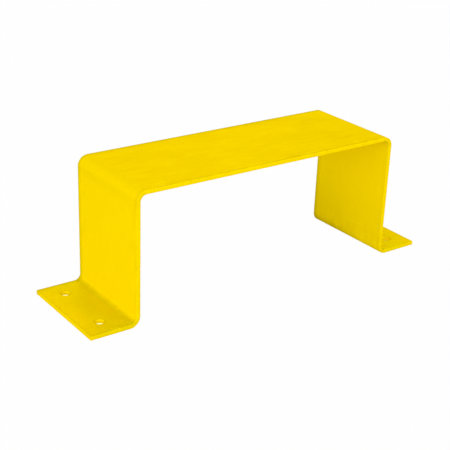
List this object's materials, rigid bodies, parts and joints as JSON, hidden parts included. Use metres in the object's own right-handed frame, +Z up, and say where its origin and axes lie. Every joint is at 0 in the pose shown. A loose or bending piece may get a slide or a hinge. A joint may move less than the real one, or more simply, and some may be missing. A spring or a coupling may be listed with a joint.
{
  "type": "ladder stabilizer",
  "caption": "Hat-shaped bracket bent from one flat steel strap, with outward feet drilled for screws; bridges a gap and holds a ladder against a roof or wall.",
  "frame": {"origin": "the middle of the footprint, on the surface that the feet stand on", "axes": "+X along the strap from the left foot to the right foot, +Y across the strap from the front cut edge to the back one, +Z up from the feet to the bridge"},
  "size_m": [0.4, 0.108, 0.1333],
  "materials": {
    "yellow_powder_coat": "semi-gloss safety yellow powder coat over bent hot-rolled steel plate"
  },
  "bodies": {
    "root": {"bracket": "yellow_powder_coat"}
  },
  "joints": []
}
